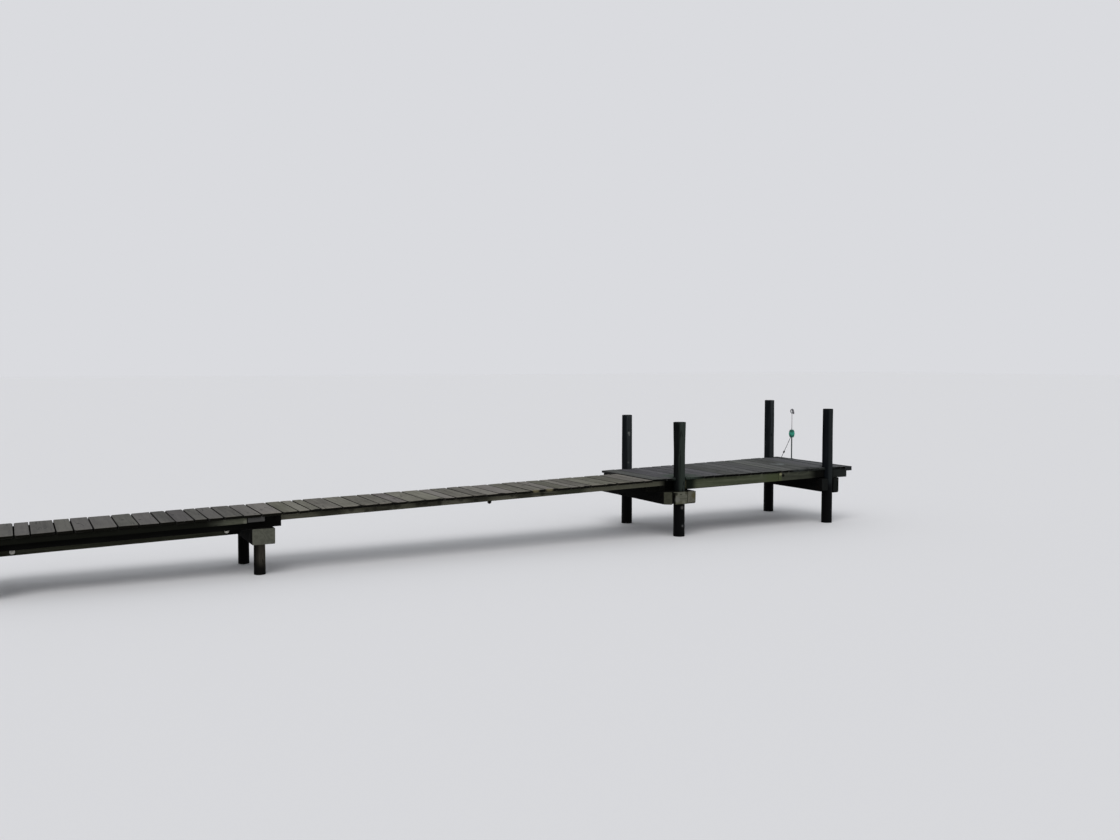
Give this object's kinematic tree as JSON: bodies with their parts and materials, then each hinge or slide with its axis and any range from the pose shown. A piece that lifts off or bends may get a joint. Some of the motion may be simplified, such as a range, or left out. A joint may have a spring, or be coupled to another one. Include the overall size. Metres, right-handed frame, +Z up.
{
  "type": "wooden jetty",
  "caption": "Narrow plank walkway rising gently from the bank to a wider platform between tall round piles, with a skewed lake end and a slim line pole.",
  "frame": {"origin": "Middle of the bounding box in plan, at the level that every pile stands on.", "axes": "+X runs from the bank to the lake, -Y is the side where walkway and platform share one straight edge, +Z is up."},
  "size_m": [11.19, 1.735, 1.71],
  "materials": {
    "deck_board": "unpainted softwood boards weathered to a dull silver grey",
    "stringer": "sawn timber, olive grey and damp along its lower edge",
    "beam": "heavy sawn timber, olive grey, with paler end grain",
    "pile": "round poles, treated near black with a green cast",
    "pole_metal": "dull pale grey rod",
    "line": "wound sea-green cord"
  },
  "bodies": {
    "root": {"bearer_far": "stringer", "bearer_middle": "stringer", "bearer_near": "stringer", "cross_beam_inner_lake": "beam", "cross_beam_inner_shore": "beam", "cross_beam_outer_lake": "beam", "cross_beam_outer_shore": "beam", "end_timber": "deck_board", "fascia_end": "stringer", "fascia_inner": "stringer", "fascia_outer": "stringer", "lake_bay_boards_inner": "deck_board", "lake_bay_boards_outer": "deck_board", "lake_stringer_far": "stringer", "lake_stringer_near": "stringer", "landing_cap": "beam", "landing_pile_far": "pile", "landing_pile_near": "pile", "line_eye": "pole_metal", "line_pole": "pole_metal", "line_reel": "line", "line_stay": "line", "packing_block_far": "beam", "packing_block_near": "beam", "pile_chock": "beam", "pile_inner_far": "pile", "pile_inner_near": "pile", "pile_outer_far": "pile", "pile_outer_near": "pile", "platform_boards_inner": "deck_board", "platform_boards_outer": "deck_board", "shore_bay_boards": "deck_board", "shore_cap": "beam", "shore_pile_far": "pile", "shore_pile_near": "pile", "shore_stringer_far": "stringer", "shore_stringer_near": "stringer", "side_board_far": "stringer", "side_board_near": "stringer", "side_cleat_far": "stringer", "side_cleat_near": "stringer", "stringer_seat_block_far": "stringer", "stringer_seat_block_near": "stringer", "tie_beam": "beam"}
  },
  "joints": []
}
